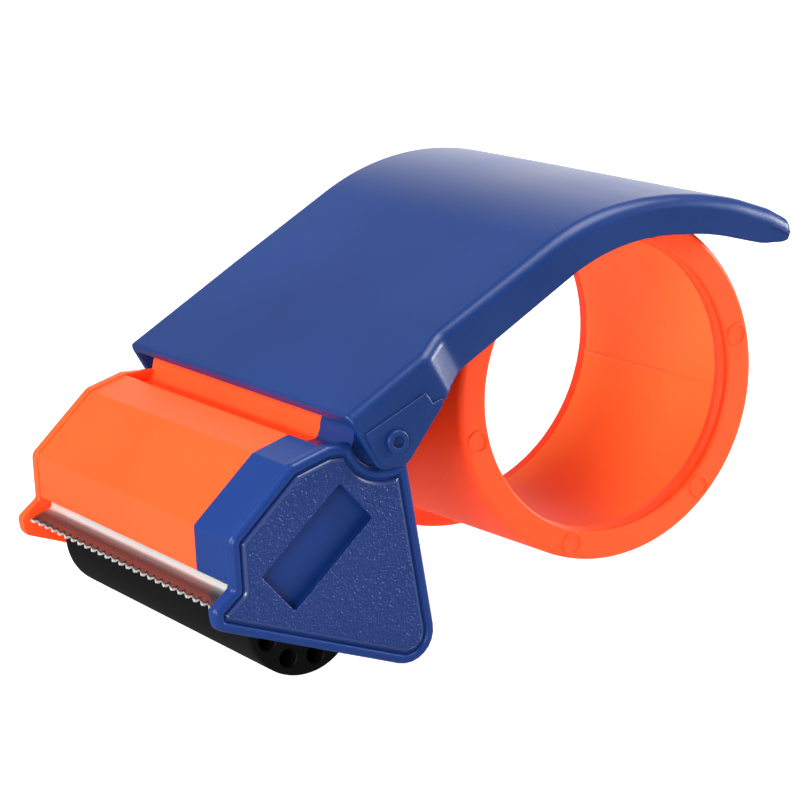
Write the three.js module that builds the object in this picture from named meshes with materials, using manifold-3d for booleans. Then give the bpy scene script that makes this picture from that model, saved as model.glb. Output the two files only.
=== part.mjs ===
// Hand-held packing-tape dispenser: an orange frame with a tape hub, a cutting head with a toothed
// blade and a rubber press roller, a blue side cover on the head, and a blue hinged handle that
// arches over the tape roll.
//
// Millimetres. X runs across the width (the open side, where a roll is slid on, is +X), Y runs
// from the blade (-Y) to the handle's tail (+Y), Z is up. Side views are drawn as [y, z] measured
// from the hub axis, and the whole group is then lifted so that its origin is on the ground.
import * as THREE from 'three';
import { mergeVertices } from 'three/addons/utils/BufferGeometryUtils.js';
import Module from 'manifold-3d';

const wasm = await Module();
wasm.setup();

// ---- driving dimensions ---------------------------------------------------------------------
const GAP = 0.3;                       // between neighbouring pieces
const GROUND_Z = -47.75;               // standing surface below the hub axis
const CENTRE_Y = -30.83;               // middle of the object's length

const HUB = {
  halfLength: 30.4, radiusNear: 37.5, radiusFar: 38.6, wall: 2, lipRadius: 30.2,
  lipDepth: 5, lipThickness: 2, lipRound: 0.4, lipDraft: 0.6, rimRound: 1.2,
  flangeRadius: 40.8, flangeZ: -2.3,
};

const HEAD = { halfWidth: 46, plate: 3, seamX: 30 };

// Corner points of the head's side plates, [y, z, corner radius], counter-clockwise from above.
const PLATE = [
  [-60.3, -1.5, 0.6], [-77.3, -1.5, 1.5], [-85.6, -4.3, 3], [-98.9, -17.4, 2.5],
  [-98.3, -27.2, 1], [-102.6, -30.9, 1.6], [-101.9, -34.7, 2.4], [-51.2, -50.6, 6.3],
];

const HINGE = { y: -63.7, z: -1.5, barrelRadius: 6.5 };
const PIN = { radius: 1.6, depth: 12, headRadius: 2.4, headLength: 0.8, headEdge: 0.3,
  dimpleRadius: 1.2, dimpleDepth: 0.5 };
const NOTCH = { y: -64.5, z: 0.5, radius: 7.8 };   // clearance round the handle's ear

const HANDLE = {
  slope: THREE.MathUtils.degToRad(32), crestRadius: 54, crestY: 3.5, crestZ: 42.8,
  frontY: -74, tailAngle: THREE.MathUtils.degToRad(22), tailLength: 14.3,
  skin: 2.4, skirt: 9.7, tailCurve: 90, tailCurveLength: 27.5, tailRound: 2.6, tailLip: 2,
  halfWidth: 48.05, skirtWall: 1.8, earPad: 0.5,
  facetStart: 14.5, facetEnd: 20.6, facetStep: 3,   // along the slope from the hinge
};

// Two strengthening ribs under the handle, and the rubber pad that presses on the roll.
const RIB = { xs: [-38, 36], thickness: 1.8, height: 3.6, short: 6, frontY: -46 };
const BRAKE = { halfWidth: 14, thickness: 1, startY: -6 };

const ROLLER = { y: -80.9, z: -35.45, radius: 12.3, halfLength: 41.6, bore: 5.9,
  holeCircle: 8.9, holeRadius: 1.85, holes: 9, firstHole: THREE.MathUtils.degToRad(-93.5) };
const ROLLER_CORE = { outer: 5.6, inner: 4.5 };
const ROLLER_BUSH = { outer: 4.2, inner: 2.8, length: 8 };
const ROLLER_SPACER_RADIUS = 4.6;
const ROLLER_AXLE_RADIUS = 2.5;
const GUIDE = { y: -72, z: -17, radius: 4, bore: 2.3, halfLength: 42.2, axleRadius: 2 };
const AXLE_HALF_LENGTH = 44.2;

const BLADE = { thickness: 0.7, halfLength: 42.6, pitch: 3.27, toothHeight: 1.7, toothTip: 0.3,
  y: -95.25, topZ: -18, rootZ: -27.4, tipY: -100.9, tipZ: -31.4 };
const CLAMP = { thickness: 2, halfLength: 39, topZ: -18.5, bottomZ: -26 };
const SCREW = { radius: 1.2, headRadius: 2.4, headLength: 1.4, z: -21.8, xs: [-30, -3, 24],
  grip: 1.4, slotDepth: 0.7, slotHalfLength: 1.6, slotHalfWidth: 0.35 };

// ---- materials ------------------------------------------------------------------------------
const plastic = (color, roughness) => new THREE.MeshStandardMaterial({ color, roughness, metalness: 0 });
const orangePlastic = () => plastic(0xff5a24, 0.4);
const bluePlastic = () => plastic(0x24408f, 0.5);
const whitePlastic = () => plastic(0xe4e3dc, 0.45);
const blackRubber = () => plastic(0x1d1d21, 0.75);
const steel = () => new THREE.MeshStandardMaterial({ color: 0xc8ccd0, roughness: 0.2, metalness: 1 });

// ---- solids ---------------------------------------------------------------------------------
function signedVolume(position, index) {
  const [a, b, c] = [new THREE.Vector3(), new THREE.Vector3(), new THREE.Vector3()];
  let volume = 0;
  for (let i = 0; i < index.count; i += 3) {
    a.fromBufferAttribute(position, index.getX(i));
    b.fromBufferAttribute(position, index.getX(i + 1));
    c.fromBufferAttribute(position, index.getX(i + 2));
    volume += a.dot(b.cross(c)) / 6;
  }
  return volume;
}

// A closed three.js geometry as a manifold solid with its faces pointing out.
function solid(geometry) {
  geometry.deleteAttribute('normal');
  geometry.deleteAttribute('uv');
  const merged = mergeVertices(geometry, 1e-4);
  const triVerts = new Uint32Array(merged.index.array);
  if (signedVolume(merged.attributes.position, merged.index) < 0) {
    for (let i = 0; i < triVerts.length; i += 3) {
      [triVerts[i], triVerts[i + 1]] = [triVerts[i + 1], triVerts[i]];
    }
  }
  const vertProperties = new Float32Array(merged.attributes.position.array);
  return new wasm.Manifold(new wasm.Mesh({ numProp: 3, vertProperties, triVerts }));
}

const join = (...parts) => parts.reduce((whole, part) => whole.add(part));
const cut = (body, ...tools) => tools.reduce((rest, tool) => rest.subtract(tool), body);

function namedMesh(name, body, material) {
  const { vertProperties, triVerts } = body.getMesh();
  const geometry = new THREE.BufferGeometry();
  geometry.setAttribute('position', new THREE.BufferAttribute(new Float32Array(vertProperties), 3));
  geometry.setIndex(new THREE.BufferAttribute(new Uint32Array(triVerts), 1));
  geometry.computeVertexNormals();
  const mesh = new THREE.Mesh(geometry, material);
  mesh.name = name;
  return mesh;
}

// Side-view axes: a shape's x and y become Y and Z, and it is extruded along X.
const SIDE_VIEW = new THREE.Matrix4().makeBasis(
  new THREE.Vector3(0, 1, 0), new THREE.Vector3(0, 0, 1), new THREE.Vector3(1, 0, 0),
);

function slab(shape, x0, x1, curveSegments = 6) {
  const geometry = new THREE.ExtrudeGeometry(shape, { depth: x1 - x0, bevelEnabled: false, curveSegments });
  return solid(geometry.applyMatrix4(SIDE_VIEW).translate(x0, 0, 0));
}

// A closed outline from [a, b, radius] corners, each rounded by its own arc.
function roundedShape(corners) {
  const shape = new THREE.Shape();
  const at = (i) => new THREE.Vector2(...corners[(i + corners.length) % corners.length]);
  corners.forEach(([, , radius = 0], i) => {
    const corner = at(i);
    const toLast = at(i - 1).sub(corner).normalize();
    const toNext = at(i + 1).sub(corner).normalize();
    const half = Math.acos(toLast.dot(toNext)) / 2;
    const start = corner.clone().addScaledVector(toLast, radius / Math.tan(half));
    const end = corner.clone().addScaledVector(toNext, radius / Math.tan(half));
    if (radius === 0) {
      if (i === 0) shape.moveTo(corner.x, corner.y);
      else shape.lineTo(corner.x, corner.y);
      return;
    }
    if (i === 0) shape.moveTo(start.x, start.y);
    else shape.lineTo(start.x, start.y);
    const middle = toLast.clone().add(toNext).normalize();
    const centre = corner.clone().addScaledVector(middle, radius / Math.sin(half));
    const clockwise = toLast.cross(toNext) > 0;
    shape.absarc(centre.x, centre.y, radius, start.sub(centre).angle(), end.sub(centre).angle(), clockwise);
  });
  shape.closePath();
  return shape;
}

// The corners moved inwards by a distance, for a counter-clockwise outline.
function inset(corners, distance) {
  return corners.map(([y, z, radius], i) => {
    const corner = new THREE.Vector2(y, z);
    const last = new THREE.Vector2(...corners[(i + corners.length - 1) % corners.length]);
    const next = new THREE.Vector2(...corners[(i + 1) % corners.length]);
    const into = corner.clone().sub(last).normalize();
    const out = next.sub(corner).normalize();
    const normalSum = new THREE.Vector2(-into.y - out.y, into.x + out.x);
    const scale = distance / (1 + into.dot(out));
    const turnsLeft = into.cross(out) > 0;
    const newRadius = Math.max(0.2, turnsLeft ? radius - distance : radius + distance * 0.3);
    return [y + normalSum.x * scale, z + normalSum.y * scale, newRadius];
  });
}

// A round bar along X.
function rod(radius, x0, x1, { y, z }, segments = 24) {
  const geometry = new THREE.CylinderGeometry(radius, radius, x1 - x0, segments);
  return solid(geometry.rotateZ(-Math.PI / 2).translate((x0 + x1) / 2, y, z));
}

// A body turned about the X axis from closed [radius, x] points.
function turned(points, { y = 0, z = 0 } = {}, segments = 80) {
  const profile = [...points, points[0]].map(([radius, x]) => new THREE.Vector2(radius, x));
  return solid(new THREE.LatheGeometry(profile, segments).rotateZ(-Math.PI / 2).translate(0, y, z));
}

function tube(outer, inner, x0, x1, centre, segments = 24) {
  return turned([[inner, x0], [outer, x0], [outer, x1], [inner, x1]], centre, segments);
}

function block([x0, x1], [y0, y1], [z0, z1]) {
  const geometry = new THREE.BoxGeometry(x1 - x0, y1 - y0, z1 - z0);
  return solid(geometry.translate((x0 + x1) / 2, (y0 + y1) / 2, (z0 + z1) / 2));
}

// ---- head -----------------------------------------------------------------------------------
// The bent skin over the blade, a little inside the plates' outline; it runs back into the barrel.
const HOOD_SKIN = [
  [-98, -26.9, 0.4], [-95.9, -26.9, 0.4], [-96.4, -18.4, 0.6], [-84.5, -6.7, 1.5], [-77.2, -4.2, 1],
  [-73.9, -6.9, 1], [-66, -6.3, 0], [-66, -2, 0], [-70.1, -3.3, 0.8], [-73.7, -4.1, 1],
  [-77.2, -1.8, 1], [-85.5, -4.6, 2.5], [-98.6, -17.5, 2.2],
];

const HOOD_INNER_Y = HOOD_SKIN[1][0];   // lower edge of the front wall's inner face

const hoodSkin = (x0, x1) => slab(roundedShape(HOOD_SKIN), x0, x1, 4);

// Blind seats for the two axles, in the inner face of the side plate on the given side.
function axleSeats(side) {
  const inner = HEAD.halfWidth - HEAD.plate - 1;
  const bottom = AXLE_HALF_LENGTH + GAP;
  const span = side > 0 ? [inner, bottom] : [-bottom, -inner];
  return join(
    rod(ROLLER_AXLE_RADIUS + GAP, ...span, ROLLER, 24),
    rod(GUIDE.axleRadius + GAP, ...span, GUIDE, 24),
  );
}

const hingeBore = (x0, x1) => rod(PIN.radius + GAP, x0, x1, HINGE, 20);

// ---- frame: far side plate, hood, and the cranked arm that carries the hub ---------------------
const ARM = {
  outline: [
    [-62, -8, 0], [-66, -30, 0], [-60, -43, 1], [-52.5, -41, 4], [-30, -37.5, 6], [-10, -41, 0],
    [0, -30, 0], [0, 25, 0], [-31, 22, 6], [-45, 11, 6], [-58, -3, 2],
  ],
  inner: -HUB.halfLength - 0.5, thickness: 2.6, crankStart: -58, crankEnd: -46,
};

function crankedArm() {
  const outer = ARM.inner - ARM.thickness;
  const plateInner = -HEAD.halfWidth + HEAD.plate;
  const skew = 0.9;                     // keeps the sloping part as thick as the rest
  const plan = roundedShape([
    [-HEAD.halfWidth, -70, 0], [plateInner, -70, 0], [plateInner, ARM.crankStart, 2],
    [ARM.inner, ARM.crankEnd, 2], [ARM.inner, 60, 0], [outer, 60, 0],
    [outer, ARM.crankEnd + skew, 2], [-HEAD.halfWidth, ARM.crankStart + skew, 2],
  ]);
  const height = 120;
  const geometry = new THREE.ExtrudeGeometry(plan, { depth: height, bevelEnabled: false, curveSegments: 4 });
  const strip = solid(geometry.translate(0, 0, -height / 2));
  const flangeSpan = [outer, ARM.inner];
  const flange = rod(HUB.flangeRadius, ...flangeSpan, { y: 0, z: HUB.flangeZ }, 80);
  const arm = slab(roundedShape(ARM.outline), -HEAD.halfWidth, ARM.inner).intersect(strip);
  const bore = rod(HUB.radiusFar - HUB.wall, outer - 1, ARM.inner + 1, { y: 0, z: 0 }, 80);
  return cut(join(arm, flange), bore);
}

function blindScrewHoles() {
  const bottom = HOOD_INNER_Y - SCREW.grip - GAP;
  const holes = SCREW.xs.map((x) => screwBar(SCREW.radius + GAP, x, bottom, HOOD_INNER_Y + 2));
  return join(...holes);
}

function screwBar(radius, x, y0, y1, segments = 20) {
  const geometry = new THREE.CylinderGeometry(radius, radius, y1 - y0, segments);
  return solid(geometry.translate(x, (y0 + y1) / 2, SCREW.z));
}

function sideFrame() {
  const plate = slab(roundedShape(PLATE), -HEAD.halfWidth, -HEAD.halfWidth + HEAD.plate, 4);
  const skin = hoodSkin(-HEAD.halfWidth + HEAD.plate / 2, HEAD.seamX);
  const barrel = rod(HINGE.barrelRadius, -HEAD.halfWidth + GAP, HEAD.seamX, HINGE, 36);
  const body = join(plate, skin, barrel, crankedArm());
  return cut(body, axleSeats(-1), hingeBore(-HEAD.halfWidth - 1, -HEAD.halfWidth + 14), blindScrewHoles());
}

// ---- hub: a drafted drum, open at the far end, with an inward collar at the near end -----------
function hubDrum() {
  const near = HUB.halfLength;
  const far = ARM.inner + GAP;
  const { radiusNear, radiusFar, wall, lipRadius, lipDepth, lipThickness, lipRound, rimRound } = HUB;
  const lipEnd = lipRadius - HUB.lipDraft;
  const chamfer = rimRound * (1 - Math.SQRT1_2);
  return turned([
    [radiusFar - wall, far], [radiusFar, far], [radiusNear, near - rimRound],
    [radiusNear - chamfer, near - chamfer], [radiusNear - rimRound, near],
    [lipRadius + lipRound, near], [lipRadius, near - lipRound], [lipEnd, near - lipDepth],
    [lipEnd + lipThickness, near - lipDepth], [lipRadius + lipThickness, near - lipThickness],
    [radiusNear - wall, near - lipThickness],
  ]);
}

// ---- side cover: end plate, the last stretch of hood, and the hinge's near barrel --------------
const COVER = { grooveInset: 2, panelInset: 2.7, grooveDepth: 0.6, recessDepth: 0.8 };
const RECESS = { y: -79.9, z: -21.1, length: 23.8, width: 10.5, angle: THREE.MathUtils.degToRad(43.5) };

function recessBlock() {
  const geometry = new THREE.BoxGeometry(COVER.recessDepth * 2, RECESS.length, RECESS.width);
  geometry.rotateX(RECESS.angle).translate(HEAD.halfWidth, RECESS.y, RECESS.z);
  return solid(geometry);
}

function sideCover() {
  const face = HEAD.halfWidth;
  const inner = face - HEAD.plate;
  const start = HEAD.seamX + GAP;
  const plate = cut(
    slab(roundedShape(PLATE), inner, face, 4),
    rod(NOTCH.radius, inner - 1, face + 1, NOTCH, 32),
  );
  const grooveFloor = cut(
    slab(roundedShape(inset(PLATE, COVER.grooveInset)), face - COVER.grooveDepth, face + 1, 3),
    rod(NOTCH.radius + COVER.grooveInset, inner, face + 2, NOTCH, 32),
  );
  const panel = cut(
    slab(roundedShape(inset(PLATE, COVER.panelInset)), face - COVER.grooveDepth - 0.1, face, 3),
    rod(NOTCH.radius + COVER.panelInset, inner, face + 2, NOTCH, 32),
  );
  const barrelEnd = face - GAP;
  const body = join(
    cut(plate, grooveFloor), panel, hoodSkin(start, face - HEAD.plate / 2),
    rod(HINGE.barrelRadius, start, barrelEnd, HINGE, 36),
  );
  return cut(body, recessBlock(), axleSeats(1), hingeBore(start + 3, face + 1));
}

// ---- handle ---------------------------------------------------------------------------------
const crestCentre = { y: HANDLE.crestY, z: HANDLE.crestZ - HANDLE.crestRadius };
const slopeStart = Math.PI / 2 + HANDLE.slope;
const tailStart = Math.PI / 2 - HANDLE.tailAngle;

function onArc(radius, angle, centre = crestCentre) {
  return [centre.y + radius * Math.cos(angle), centre.z + radius * Math.sin(angle)];
}

// The point on the handle's front end at a depth below its top surface.
function frontPoint(depth) {
  const [y, z] = onArc(HANDLE.crestRadius - depth, slopeStart);
  const length = (onArc(HANDLE.crestRadius, slopeStart)[0] - HANDLE.frontY) / Math.cos(HANDLE.slope);
  return [y - length * Math.cos(HANDLE.slope), z - length * Math.sin(HANDLE.slope)];
}

function tailPoint(depth, back = 0) {
  const [y, z] = onArc(HANDLE.crestRadius - depth, tailStart);
  const length = HANDLE.tailLength - back;
  return [y + length * Math.cos(HANDLE.tailAngle), z - length * Math.sin(HANDLE.tailAngle)];
}

// The handle's sheet between two depths below its top surface.
function sheet(top, bottom, back = 0) {
  const shape = new THREE.Shape();
  shape.moveTo(...frontPoint(top));
  shape.lineTo(...frontPoint(bottom));
  shape.absarc(crestCentre.y, crestCentre.z, HANDLE.crestRadius - bottom, slopeStart, tailStart, true);
  shape.lineTo(...tailPoint(bottom, back));
  shape.lineTo(...tailPoint(top, back));
  shape.absarc(crestCentre.y, crestCentre.z, HANDLE.crestRadius - top, tailStart, slopeStart, false);
  shape.closePath();
  return shape;
}

// A side skirt: as deep as the hinge ear at the front, shallower towards the rounded tail.
function skirtShape() {
  const depth = HANDLE.skirt;
  const lowCentre = { y: HANDLE.crestY, z: HANDLE.crestZ - depth - HANDLE.tailCurve };
  const lowEnd = Math.PI / 2 - Math.asin(HANDLE.tailCurveLength / HANDLE.tailCurve);
  const [lowY, lowZ] = onArc(HANDLE.tailCurve, lowEnd, lowCentre);
  const shape = new THREE.Shape();
  shape.moveTo(...frontPoint(0));
  shape.lineTo(...frontPoint(depth));
  shape.absarc(crestCentre.y, crestCentre.z, HANDLE.crestRadius - depth, slopeStart, Math.PI / 2, true);
  shape.absarc(lowCentre.y, lowCentre.z, HANDLE.tailCurve, Math.PI / 2, lowEnd, true);
  shape.quadraticCurveTo(lowY + 5, lowZ - 0.4, ...tailPoint(HANDLE.tailRound));
  shape.lineTo(...tailPoint(0));
  shape.absarc(crestCentre.y, crestCentre.z, HANDLE.crestRadius, tailStart, slopeStart, false);
  shape.closePath();
  return shape;
}

const EAR = [
  [-56, 13, 0], [-73.2, 2.8, 0], [-67.2, -6.9, 3.6], [-61, -6.9, 3.4], [-52.4, 5.2, 1.5], [-50.2, 9.8, 1],
];
const EAR_PAD = [
  [-70.6, 0.5, 0.4], [-66.9, -6.5, 3.4], [-61.1, -6.5, 3.2], [-52.9, 4.6, 0.8], [-53, 6, 0.3],
  [-55.2, 5.1, 0.3], [-56.8, 7.4, 0.4],
];

// A wall of the given plan outline, [x, distance along the slope from the hinge], square to the slope.
function slopeWall(planCorners) {
  const height = 160;
  const geometry = new THREE.ExtrudeGeometry(roundedShape(planCorners), {
    depth: height, bevelEnabled: false, curveSegments: 4,
  });
  geometry.translate(0, 0, -height / 2).rotateX(HANDLE.slope).translate(0, HINGE.y, HINGE.z);
  return solid(geometry);
}

// The near side's plan line steps in behind the ear; the far side is straight.
function nearLine(offset) {
  const wide = HANDLE.halfWidth - offset;
  const narrow = wide - HANDLE.facetStep;
  return [[narrow, 150, 0], [narrow, HANDLE.facetEnd, 1], [wide, HANDLE.facetStart, 1], [wide, -40, 0]];
}

function handleShell() {
  const { halfWidth, skirtWall, skin, earPad } = HANDLE;
  const skirtBody = (x0, x1) => join(slab(skirtShape(), x0, x1, 10), slab(roundedShape(EAR), x0, x1, 4));
  const outside = slopeWall([...nearLine(0), [-halfWidth, -40, 0], [-halfWidth, 150, 0]]);
  const nearStrip = slopeWall([...nearLine(0), ...nearLine(skirtWall).reverse()]);
  const top = slab(sheet(0, skin), -halfWidth, halfWidth, 12).intersect(outside);
  const nearSkirt = skirtBody(halfWidth - HANDLE.facetStep - skirtWall, halfWidth).intersect(nearStrip);
  const farSkirt = skirtBody(-halfWidth, -halfWidth + skirtWall);
  const ribSheet = sheet(skin - 0.2, skin + RIB.height, RIB.short);
  const ribs = RIB.xs.map((x) => (
    slab(ribSheet, x - RIB.thickness / 2, x + RIB.thickness / 2, 8)
      .intersect(block([-60, 60], [RIB.frontY, 60], [-60, 60]))
  ));
  const lipSlab = sheet(skin - 0.2, skin + HANDLE.tailLip + 0.6);
  const tailLip = slab(lipSlab, -halfWidth + 1, halfWidth - HANDLE.facetStep - 1, 6)
    .intersect(block([-60, 60], [tailPoint(skin)[0] - 2, 60], [-60, 60]));
  const pads = [[halfWidth - 0.2, halfWidth + earPad], [-halfWidth - earPad, -halfWidth + 0.2]].map(
    ([x0, x1]) => slab(roundedShape(EAR_PAD), x0, x1, 4),
  );
  const shell = join(top, nearSkirt, farSkirt, tailLip, ...ribs, ...pads);
  return cut(shell, hingeBore(halfWidth - 4, halfWidth + 4), hingeBore(-halfWidth - 4, -halfWidth + 4));
}

function brakePad() {
  const layer = sheet(HANDLE.skin + GAP, HANDLE.skin + GAP + BRAKE.thickness);
  return slab(layer, -BRAKE.halfWidth, BRAKE.halfWidth, 24)
    .intersect(block([-60, 60], [BRAKE.startY, 20], [0, 60]));
}

// A headed pin with a dimple in its head; it turns the handle on one end of the barrel.
function hingePin(side) {
  const ear = HANDLE.halfWidth + HANDLE.earPad + GAP;
  const { radius, headRadius, headEdge, dimpleRadius, dimpleDepth } = PIN;
  const inner = HEAD.halfWidth - PIN.depth;
  const end = ear + PIN.headLength;
  const points = [
    [0, inner], [radius, inner], [radius, ear], [headRadius, ear],
    [headRadius, end - headEdge], [headRadius - headEdge, end],
    [dimpleRadius, end], [dimpleRadius - headEdge, end - dimpleDepth], [0, end - dimpleDepth],
  ].map(([r, x]) => new THREE.Vector2(r, side * x));
  const geometry = new THREE.LatheGeometry(points, 20);
  return solid(geometry.rotateZ(-Math.PI / 2).translate(0, HINGE.y, HINGE.z));
}

// ---- blade ----------------------------------------------------------------------------------
// A strip that stands against the hood's front wall and bends out to the teeth.
function blade() {
  const { thickness, halfLength, pitch, toothHeight, toothTip, y, topZ, rootZ, tipY, tipZ } = BLADE;
  const angle = Math.atan2(tipZ - rootZ, tipY - y);
  const [sin, cos] = [Math.sin(angle), Math.cos(angle)];
  const mitre = thickness * Math.tan(-(angle + Math.PI / 2) / 2);
  const strip = new THREE.Shape();
  strip.moveTo(y, topZ);
  strip.lineTo(y, rootZ);
  strip.lineTo(tipY, tipZ);
  strip.lineTo(tipY - thickness * sin, tipZ + thickness * cos);
  strip.lineTo(y + thickness, rootZ - mitre);
  strip.lineTo(y + thickness, topZ);
  strip.closePath();
  const body = slab(strip, -halfLength, halfLength, 4);
  const count = Math.floor((2 * halfLength) / pitch);
  const notches = [];
  for (let i = 0; i <= count; i += 1) {
    const x = (i - count / 2) * pitch;
    const notch = new THREE.Shape([
      new THREE.Vector2(x - (pitch - toothTip) / 2, 1), new THREE.Vector2(x + (pitch - toothTip) / 2, 1),
      new THREE.Vector2(x, -toothHeight),
    ]);
    const geometry = new THREE.ExtrudeGeometry(notch, { depth: 6, bevelEnabled: false });
    const slopeAxes = new THREE.Matrix4().makeBasis(
      new THREE.Vector3(1, 0, 0), new THREE.Vector3(0, cos, sin), new THREE.Vector3(0, -sin, cos),
    );
    notches.push(solid(geometry.translate(0, 0, -3).applyMatrix4(slopeAxes).translate(0, tipY, tipZ)));
  }
  const holes = SCREW.xs.map((screwX) => screwBar(SCREW.radius + GAP, screwX, y - 2, y + 3));
  return cut(body, ...notches, ...holes);
}

const CLAMP_Y = BLADE.y + BLADE.thickness + GAP;

function bladeClamp() {
  const { halfLength, thickness, bottomZ, topZ } = CLAMP;
  const bar = block([-halfLength, halfLength], [CLAMP_Y, CLAMP_Y + thickness], [bottomZ, topZ]);
  const holes = SCREW.xs.map((x) => screwBar(SCREW.radius + GAP, x, CLAMP_Y - 2, CLAMP_Y + 4));
  return cut(bar, ...holes);
}

function bladeScrew(x) {
  const { slotDepth, slotHalfLength, slotHalfWidth } = SCREW;
  const seat = CLAMP_Y + CLAMP.thickness + GAP;
  const end = seat + SCREW.headLength;
  const shank = screwBar(SCREW.radius, x, HOOD_INNER_Y - SCREW.grip, seat + 0.2);
  const head = screwBar(SCREW.headRadius, x, seat, end, 28);
  const slotSpan = [end - slotDepth, end + 1];
  const cross = [[slotHalfWidth, slotHalfLength], [slotHalfLength, slotHalfWidth]];
  const slots = cross.map(([halfX, halfZ]) => (
    block([x - halfX, x + halfX], slotSpan, [SCREW.z - halfZ, SCREW.z + halfZ])
  ));
  return cut(join(shank, head), ...slots);
}

// ---- rollers --------------------------------------------------------------------------------
function rollerSleeve() {
  const outline = new THREE.Shape().absarc(ROLLER.y, ROLLER.z, ROLLER.radius, 0, 2 * Math.PI, false);
  const holes = [];
  for (let i = 0; i < ROLLER.holes; i += 1) {
    const angle = ROLLER.firstHole + (i * 2 * Math.PI) / ROLLER.holes;
    const y = ROLLER.y + ROLLER.holeCircle * Math.cos(angle);
    const z = ROLLER.z + ROLLER.holeCircle * Math.sin(angle);
    holes.push(rod(ROLLER.holeRadius, -50, 50, { y, z }, 12));
  }
  outline.holes.push(new THREE.Path().absarc(ROLLER.y, ROLLER.z, ROLLER.bore, 0, 2 * Math.PI, true));
  return cut(slab(outline, -ROLLER.halfLength, ROLLER.halfLength, 48), ...holes);
}

function rollerSpacer(side) {
  const face = HEAD.halfWidth - HEAD.plate;
  const [x0, x1] = [ROLLER.halfLength + GAP, face - GAP];
  return tube(ROLLER_SPACER_RADIUS, ROLLER_AXLE_RADIUS + GAP, ...(side > 0 ? [x0, x1] : [-x1, -x0]), ROLLER);
}

function rollerBush(side) {
  const [x0, x1] = [ROLLER.halfLength - ROLLER_BUSH.length, ROLLER.halfLength];
  return tube(ROLLER_BUSH.outer, ROLLER_BUSH.inner, ...(side > 0 ? [x0, x1] : [-x1, -x0]), ROLLER);
}

// ---- assembly -------------------------------------------------------------------------------
const group = new THREE.Group();
group.position.set(0, -CENTRE_Y, -GROUND_Z);
group.add(
  namedMesh('side_frame', sideFrame(), orangePlastic()),
  namedMesh('hub_drum', hubDrum(), orangePlastic()),
  namedMesh('side_cover', sideCover(), bluePlastic()),
  namedMesh('handle_shell', handleShell(), bluePlastic()),
  namedMesh('brake_pad', brakePad(), blackRubber()),
  namedMesh('hinge_pin_near', hingePin(1), bluePlastic()),
  namedMesh('hinge_pin_far', hingePin(-1), bluePlastic()),
  namedMesh('blade', blade(), steel()),
  namedMesh('blade_clamp', bladeClamp(), steel()),
  ...SCREW.xs.map((x, i) => namedMesh(`blade_screw_${i + 1}`, bladeScrew(x), steel())),
  namedMesh('roller_sleeve', rollerSleeve(), blackRubber()),
  namedMesh('roller_core', tube(ROLLER_CORE.outer, ROLLER_CORE.inner, -ROLLER.halfLength, ROLLER.halfLength,
    ROLLER, 40), whitePlastic()),
  namedMesh('roller_bush_near', rollerBush(1), whitePlastic()),
  namedMesh('roller_bush_far', rollerBush(-1), whitePlastic()),
  namedMesh('roller_spacer_near', rollerSpacer(1), whitePlastic()),
  namedMesh('roller_spacer_far', rollerSpacer(-1), whitePlastic()),
  namedMesh('roller_axle', rod(ROLLER_AXLE_RADIUS, -AXLE_HALF_LENGTH, AXLE_HALF_LENGTH, ROLLER), steel()),
  namedMesh('guide_roller', tube(GUIDE.radius, GUIDE.bore, -GUIDE.halfLength, GUIDE.halfLength, GUIDE),
    whitePlastic()),
  namedMesh('guide_axle', rod(GUIDE.axleRadius, -AXLE_HALF_LENGTH, AXLE_HALF_LENGTH, GUIDE), steel()),
);

export default group;
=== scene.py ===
"""Looks for the packing-tape dispenser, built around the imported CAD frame.

Shapes are drawn in millimetres from the hub axis: x across the width (the open side is +x),
y from the blade to the handle's tail, z up. place() turns them into the row frame's metres.
"""
import math

import bmesh
import bpy
import numpy as np
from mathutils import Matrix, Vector


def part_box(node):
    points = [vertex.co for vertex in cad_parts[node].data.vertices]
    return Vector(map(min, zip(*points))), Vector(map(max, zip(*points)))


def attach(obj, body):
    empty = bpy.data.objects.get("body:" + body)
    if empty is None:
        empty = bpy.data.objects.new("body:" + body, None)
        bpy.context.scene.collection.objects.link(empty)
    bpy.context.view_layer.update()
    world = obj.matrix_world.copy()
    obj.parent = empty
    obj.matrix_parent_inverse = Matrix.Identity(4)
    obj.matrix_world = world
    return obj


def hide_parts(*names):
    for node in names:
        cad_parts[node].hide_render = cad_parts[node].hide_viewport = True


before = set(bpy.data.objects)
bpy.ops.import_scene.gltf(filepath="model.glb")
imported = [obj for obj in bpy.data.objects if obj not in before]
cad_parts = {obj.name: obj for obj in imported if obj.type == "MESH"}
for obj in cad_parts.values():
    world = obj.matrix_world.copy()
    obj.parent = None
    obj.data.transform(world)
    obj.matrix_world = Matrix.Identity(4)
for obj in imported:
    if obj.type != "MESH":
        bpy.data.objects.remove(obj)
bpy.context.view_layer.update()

MM = 0.001
hub_low, hub_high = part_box("hub_drum")
HUB_AXIS = np.array([0.0, (hub_low.y + hub_high.y) / 2, (hub_low.z + hub_high.z) / 2])


# ---- mesh helpers ----------------------------------------------------------------------------
def unit(v):
    return v / np.linalg.norm(v)


def place(points):
    return np.asarray(points, float) * MM + HUB_AXIS


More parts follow.
